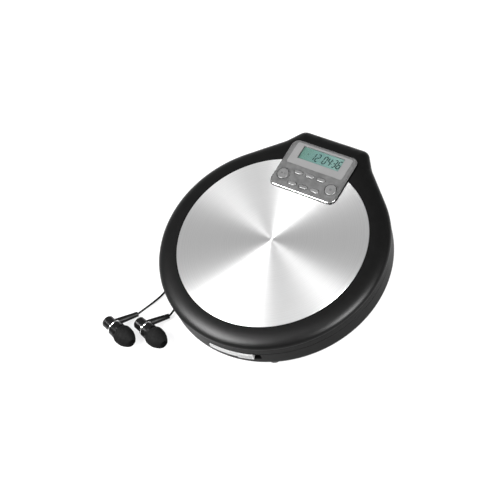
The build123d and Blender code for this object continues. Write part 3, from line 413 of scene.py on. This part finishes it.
FINISHES = {
    "lid_shell": LID_BLACK, "lid_trim_plate": SPUN, "lid_inner_cover": INNER, "lid_screws": STEEL,
    "panel_trim": CHROME_PAINTED_SHADE, "panel_frame": PANEL, "display_bezel": SURROUND, "display_window": WINDOW,
    "lcd_module": DISPLAY, "lid_circuit_board": BOARD, "play_button": KEYS, "stop_button": KEYS,
    "skip_back_button": KEYS, "skip_forward_button": KEYS, "mode_button": KEYS, "volume_down_button": KEYS,
    "volume_up_button": KEYS, "folder_button": KEYS, "upper_cabinet": CABINET, "lower_cabinet": CABINET,
    "battery_door": CABINET, "battery_contacts": STEEL, "rubber_feet": RUBBER, "case_screws": STEEL,
    "latch_slider": SILVER, "latch_hook": INNER, "latch_spring": STEEL, "hinge_pins": STEEL,
    "hinge_spring": STEEL, "lid_switch_case": SOCKET, "lid_switch_plunger": INNER, "hold_slider": SILVER,
    "headphone_jack": SOCKET, "line_out_jack": SOCKET, "dc_jack": SOCKET, "main_circuit_board": BOARD,
    "circuit_chips": SOCKET, "mechanism_chassis": STEEL, "chassis_dampers": RUBBER,
    "mechanism_screws": STEEL, "spindle_motor": STEEL, "turntable": INNER, "disc_clamp_balls": STEEL,
    "pickup_rods": STEEL, "optical_pickup": STEEL, "objective_lens": LENS, "reduction_gear": ACETAL,
    "sled_motor": STEEL, "motor_pinion": BRASS, "headphone_plug": GOLD, "plug_grip": CORD,
    "cord_splitter": CORD, "earbud_housings": GLOSS, "earbud_rings": BUD_CHROME, "ear_tips": SILICONE,
    "earbud_stems": STEM,
}
for node, finish in FINISHES.items():
    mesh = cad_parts[node].data
    mesh.materials.clear()
    mesh.materials.append(finish)


# ---------------------------------------------------------------- cords and tie

# Each run's place in the hank's cross-section: away from the flank and up, in mm
main_lanes = [(3.35, 1.25), (10.15, 1.25), (4.45, 2.0), (9.05, 2.0), (3.35, 2.75), (10.15, 2.75), (4.45, 3.5),
              (9.05, 3.5), (3.35, 4.25), (9.05, 4.9), (4.45, 4.9), (10.15, 4.25), (5.5, 4.1)]
left_lanes = [(10.4, 5.7), (5.5, 5.75), (8.9, 5.7)]
right_lanes = [(3.0, 5.7), (7.6, 5.75), (4.2, 5.7)]
main_points = PLUG_ROUTE + hank_runs(main_lanes) + [hank_place(38.5, 6.9, 2.4)]
main_cord = cord_curve("main_cord", main_points, LEAD, CORD)
left_points = LEFT_ROUTE + hank_runs(left_lanes) + [hank_place(38.5, 8.0, 2.4)]
right_points = RIGHT_ROUTE + hank_runs(right_lanes) + [hank_place(38.5, 6.0, 2.4)]
left_lead = cord_curve("left_lead", left_points, BRANCH, CORD)
right_lead = cord_curve("right_lead", right_points, BRANCH, CORD)
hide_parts("plug_cord", "cord_hank")
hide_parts("left_cord")
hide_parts("right_cord")
for piece in (main_cord, left_lead, right_lead):
    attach(piece, "earphones")


def tie_band():
    """A soft band wound round the middle of the hank, in the shape of a rounded box."""
    sections = [(-4.0, 0.0), (-3.7, 0.28), (3.7, 0.28), (4.0, 0.0), (3.8, -0.3), (-3.8, -0.3)]
    corners = 40
    squareness = 2.6
    builder = bmesh.new()
    rings = []
    for step in range(corners):
        across, up = math.cos(2 * math.pi * step / corners), math.sin(2 * math.pi * step / corners)
        swell = (abs(across) ** squareness + abs(up) ** squareness) ** (-1 / squareness)
        ring = []
        for run, thick in sections:
            out = HANK_MIDDLE + (3.75 + thick) * across * swell
            spot = hank_place(HANK_CENTRE + run, out, 3.35 + (2.72 + thick) * up * swell)
            ring.append(builder.verts.new(place(*spot)))
        rings.append(ring)
    for step in range(corners):
        here, there = rings[step], rings[(step + 1) % corners]
        for index in range(len(sections)):
            after = (index + 1) % len(sections)
            builder.faces.new((here[index], here[after], there[after], there[index]))
    bmesh.ops.recalc_face_normals(builder, faces=builder.faces)
    mesh = bpy.data.meshes.new("hank_tie")
    builder.to_mesh(mesh)
    builder.free()
    for face in mesh.polygons:
        face.use_smooth = True
    mesh.materials.append(TIE)
    piece = bpy.data.objects.new("hank_tie", mesh)
    bpy.context.scene.collection.objects.link(piece)
    return piece


tie = tie_band()
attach(tie, "earphones")


# ---------------------------------------------------------------- display and key marks

PANEL_Y = 51.6
PANEL_DEPTH = 34.7
PANEL_FRONT = PANEL_Y - PANEL_DEPTH / 2
REFLECTOR_FACE = 27.57                # heights of the printed faces, mm
PANEL_FACE = 28.615
KEY_FACE = 29.012


def flat_piece(name, outlines, z, material, body="lid"):
    """Flat shapes, given as outlines in mm from the spindle, as one flat piece at the height z."""
    builder = bmesh.new()
    for outline in outlines:
        builder.faces.new([builder.verts.new(place(x, y, z)) for x, y in outline])
    builder.normal_update()
    for face in builder.faces:
        if face.normal.z < 0:
            face.normal_flip()
    mesh = bpy.data.meshes.new(name)
    builder.to_mesh(mesh)
    builder.free()
    mesh.materials.append(material)
    piece = bpy.data.objects.new(name, mesh)
    bpy.context.scene.collection.objects.link(piece)
    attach(piece, body)


def segment_bars(digit, x, y, wide, high, thick, slant):
    """The lit bars of one seven-segment figure."""
    lit = {"0": "abcdef", "1": "bc", "2": "abged", "3": "abgcd", "4": "fgbc", "6": "afgedc"}[digit]
    half = high / 2
    runs = {"a": (0, high, wide, high), "d": (0, 0, wide, 0), "g": (0, half, wide, half),
            "b": (wide, half, wide, high), "c": (wide, 0, wide, half), "f": (0, half, 0, high),
            "e": (0, 0, 0, half)}
    bars = []
    for name in lit:
        x0, y0, x1, y1 = runs[name]
        length = math.hypot(x1 - x0, y1 - y0)
        ux, uy = (x1 - x0) / length, (y1 - y0) / length
        gap = 0.12 * thick
        start, end = gap + thick / 2, length - gap - thick / 2
        outline = []
        for run, off in ((start - thick / 2, 0), (start, -thick / 2), (end, -thick / 2),
                         (end + thick / 2, 0), (end, thick / 2), (start, thick / 2)):
            px, py = x0 + ux * run - uy * off, y0 + uy * run + ux * off
            outline.append((x + px + slant * py, y + py))
        bars.append(outline)
    return bars


def rectangle(x, y, wide, high):
    return [(x - wide / 2, y - high / 2), (x + wide / 2, y - high / 2), (x + wide / 2, y + high / 2),
            (x - wide / 2, y + high / 2)]


def arrow(x, y, size, way):
    return [(x - way * size / 2, y - size / 2), (x + way * size / 2, y), (x - way * size / 2, y + size / 2)]


display_y = PANEL_FRONT + 27.0
figures = []
for digit, x in (("1", -7.0), ("2", -3.8), ("0", 1.1), ("4", 4.2), ("3", 7.9), ("6", 11.0)):
    figures += segment_bars(digit, x, display_y - 2.6, wide=1.9, high=5.4, thick=0.68, slant=0.14)
figures += [rectangle(7.25, display_y - 0.9, 0.55, 0.55), rectangle(7.5, display_y + 1.2, 0.55, 0.55)]
figures += [rectangle(-9.6, display_y + 0.6, 0.7, 0.7)]
flat_piece("display_figures", figures, REFLECTOR_FACE, SEGMENTS)

# Plain marks beside the six small keys, and on the two round ones
row_rear = PANEL_FRONT + 13.0 + 2.35
row_front = PANEL_FRONT + 4.6 + 2.35
round_y = PANEL_FRONT + 8.9
marks = []
for way, middle in ((-1, -7.75), (1, 0)):
    marks += [arrow(middle + 0.45 * side, row_rear, 0.9, way) for side in (-way, way)]
    marks += [rectangle(middle + 1.1 * way, row_rear, 0.25, 0.9)]
marks += [rectangle(7.8, row_rear, 1.8, 0.5)]
marks += [rectangle(-7.8, row_front, 1.2, 0.35)]
marks += [rectangle(0, row_front, 1.2, 0.35), rectangle(0, row_front + 0.4, 0.35, 0.44),
          rectangle(0, row_front - 0.4, 0.35, 0.44)]
marks += [rectangle(7.8, row_front, 1.5, 0.7)]
flat_piece("panel_marks", marks, PANEL_FACE, PRINT)

play_marks = [arrow(-17.1, round_y, 1.7, 1), rectangle(-15.6, round_y, 0.35, 1.6),
              rectangle(-14.9, round_y, 0.35, 1.6)]
flat_piece("play_mark", play_marks, KEY_FACE, PRINT, "play_key")
flat_piece("stop_mark", [rectangle(16.6, round_y, 1.6, 1.6)], KEY_FACE, PRINT, "stop_key")


# ---------------------------------------------------------------- floor and light

FLOOR_DROP = 0.0002                   # keeps the floor clear of the feet, in metres

builder = bmesh.new()
bmesh.ops.create_grid(builder, x_segments=1, y_segments=1, size=6)
floor_mesh = bpy.data.meshes.new("floor")
builder.to_mesh(floor_mesh)
builder.free()
floor = bpy.data.objects.new("floor", floor_mesh)
floor.location = (0, 0, -FLOOR_DROP)
bpy.context.scene.collection.objects.link(floor)
floor_material, floor_tree, floor_shader = new_material("pale_floor")
floor_shader.inputs["Base Color"].default_value = (0.18, 0.18, 0.18, 1)
floor_shader.inputs["Roughness"].default_value = 0.9
floor_shader.inputs["Specular IOR Level"].default_value = 0.0
floor_shader.inputs["Emission Color"].default_value = (1, 1, 1, 1)
floor_shader.inputs["Emission Strength"].default_value = 0.75
floor_mesh.materials.append(floor_material)

world = bpy.data.worlds.new("studio")
world.use_nodes = True
background = world.node_tree.nodes["Background"]
background.inputs["Color"].default_value = (1, 1, 1, 1)
background.inputs["Strength"].default_value = 0.34
bpy.context.scene.world = world
bpy.context.scene.view_settings.view_transform = "Standard"


def sun(name, direction, strength, spread_degrees):
    """A broad, even light that makes no highlights of its own."""
    data = bpy.data.lights.new(name, "SUN")
    data.energy = strength
    data.angle = math.radians(spread_degrees)
    lamp = bpy.data.objects.new(name, data)
    lamp.rotation_euler = Vector(direction).to_track_quat("Z", "Y").to_euler()
    lamp.visible_glossy = False
    bpy.context.scene.collection.objects.link(lamp)


def softbox(name, direction, distance, wide, high, power):
    """A rectangular light in the given direction from the object, facing it."""
    data = bpy.data.lights.new(name, "AREA")
    data.shape = "RECTANGLE"
    data.size = wide
    data.size_y = high
    data.energy = power
    lamp = bpy.data.objects.new(name, data)
    way = Vector(direction).normalized()
    lamp.location = way * distance
    lamp.rotation_euler = way.to_track_quat("Z", "Y").to_euler()
    bpy.context.scene.collection.objects.link(lamp)


sun("overhead", (0.0, 0.0, 1.0), 0.7, 120)
softbox("front_left", (-0.43, -0.50, 0.76), 1.0, 0.55, 0.4, 30)
softbox("right", (0.74, -0.08, 0.66), 1.0, 0.4, 0.35, 20)
softbox("high_left", (-0.30, -0.42, 0.86), 1.2, 0.9, 0.35, 4)
softbox("top", (0.12, -0.12, 0.98), 1.2, 0.3, 0.3, 1.4)
softbox("rear_high", (-0.43, 0.37, 0.82), 1.2, 0.8, 0.8, 0.3)
